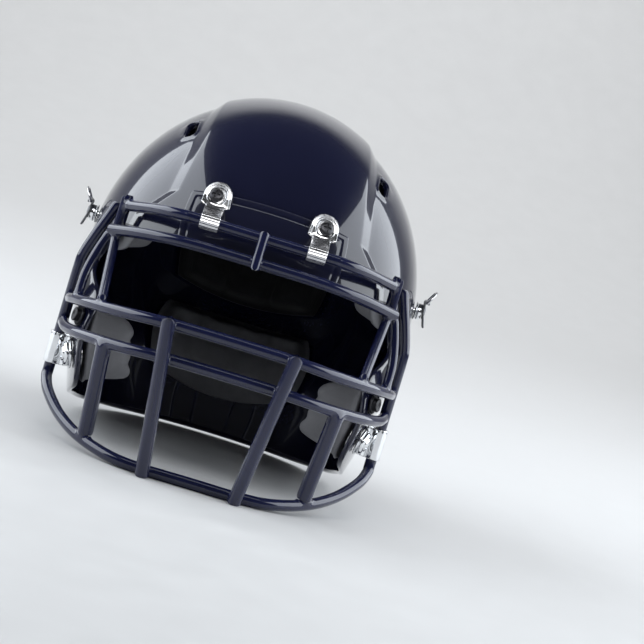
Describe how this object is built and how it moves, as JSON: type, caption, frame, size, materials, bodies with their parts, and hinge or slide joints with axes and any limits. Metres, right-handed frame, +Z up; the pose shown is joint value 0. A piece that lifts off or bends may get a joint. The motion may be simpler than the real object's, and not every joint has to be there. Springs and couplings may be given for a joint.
{
  "type": "american football helmet",
  "caption": "Glossy dark football helmet with a tube facemask that swings up on top clips, button-released side clips, strap buckles and a padded liner.",
  "frame": {"origin": "under the middle of the helmet, on the surface that it rests on", "axes": "+Z up, the face looks along -Y, +X to the right of someone who faces the helmet; left and right in the names are as that person sees them"},
  "size_m": [0.2636, 0.3294, 0.2641],
  "materials": {
    "shell_gloss": "clear-coated dark navy polycarbonate",
    "bumper_gloss": "glossy dark navy moulded bumper",
    "mask_coating": "glossy navy powder and dip coating on steel wire",
    "clip_steel": "polished stamped stainless steel",
    "clip_chrome": "bright chrome",
    "wire_steel": "bright drawn steel wire",
    "dark_hardware": "black oxide screws and snaps",
    "buckle_grey": "dark grey satin metal plate",
    "valve_rubber": "matt black rubber",
    "liner_black": "black knitted lining over foam",
    "pad_grey": "grey vinyl cover over foam with welded seams"
  },
  "bodies": {
    "helmet": {"shell": "shell_gloss", "front_bumper": "bumper_gloss", "rear_bumper": "bumper_gloss", "top_clip_left": "clip_steel", "top_clip_right": "clip_steel", "top_clip_screws": "dark_hardware", "tee_nuts": "clip_steel", "front_pad": "liner_black", "crown_pad": "liner_black", "back_pad": "liner_black", "neck_pad": "pad_grey", "side_pad_left": "liner_black", "side_pad_right": "liner_black", "temple_pad_left": "pad_grey", "temple_pad_right": "pad_grey", "jaw_pad_left": "pad_grey", "jaw_pad_right": "pad_grey", "jaw_pad_snaps": "dark_hardware", "inflation_valves": "valve_rubber", "strap_studs": "clip_chrome", "lower_studs": "dark_hardware"},
    "facemask": {"brow_bar": "mask_coating", "brow_wing_left": "mask_coating", "brow_wing_right": "mask_coating", "eye_bar": "mask_coating", "centre_spar": "mask_coating", "brow_upright_left": "mask_coating", "brow_upright_right": "mask_coating", "side_bar_left": "mask_coating", "side_bar_right": "mask_coating", "window_bar_left": "mask_coating", "window_bar_right": "mask_coating", "window_strut_left": "mask_coating", "window_strut_right": "mask_coating", "nose_bar": "mask_coating", "mouth_bar": "mask_coating", "mouth_upright_left": "mask_coating", "mouth_upright_right": "mask_coating", "chin_upright_left": "mask_coating", "chin_upright_right": "mask_coating", "chin_bar": "mask_coating", "side_clip_left": "clip_chrome", "side_clip_right": "clip_chrome", "clip_bushes": "clip_chrome"},
    "release_button_left": {"release_button_left": "clip_chrome"},
    "strap_buckle_left": {"strap_buckle_left": "buckle_grey"},
    "buckle_loop_left": {"buckle_loop_left": "wire_steel"},
    "release_button_right": {"release_button_right": "clip_chrome"},
    "strap_buckle_right": {"strap_buckle_right": "buckle_grey"},
    "buckle_loop_right": {"buckle_loop_right": "wire_steel"}
  },
  "joints": [
    {"name": "mask_hinge", "type": "hinge", "parent": "helmet", "child": "facemask", "pos_m": [0, -0.115, 0.171], "axis": [-1, 0, 0], "range_deg": [0, 95]},
    {"name": "button_left", "type": "slide", "parent": "facemask", "child": "release_button_left", "axis": [0.9517, 0.2163, 0.2177], "range_m": [0, 0.0015], "stiffness_N_per_m": 400},
    {"name": "button_right", "type": "slide", "parent": "facemask", "child": "release_button_right", "axis": [-0.9517, 0.2163, 0.2177], "range_m": [0, 0.0015], "stiffness_N_per_m": 400},
    {"name": "buckle_left", "type": "hinge", "parent": "helmet", "child": "strap_buckle_left", "pos_m": [-0.11871, 0.012, 0.146], "axis": [-1, 0, 0], "range_deg": [-60, 60]},
    {"name": "buckle_right", "type": "hinge", "parent": "helmet", "child": "strap_buckle_right", "pos_m": [0.11871, 0.012, 0.146], "axis": [1, 0, 0], "range_deg": [-60, 60]},
    {"name": "loop_left", "type": "hinge", "parent": "strap_buckle_left", "child": "buckle_loop_left", "pos_m": [-0.12621, 0.012, 0.1535], "axis": [0, -1, 0], "range_deg": [-30, 100]},
    {"name": "loop_right", "type": "hinge", "parent": "strap_buckle_right", "child": "buckle_loop_right", "pos_m": [0.12621, 0.012, 0.1535], "axis": [0, 1, 0], "range_deg": [-30, 100]}
  ]
}
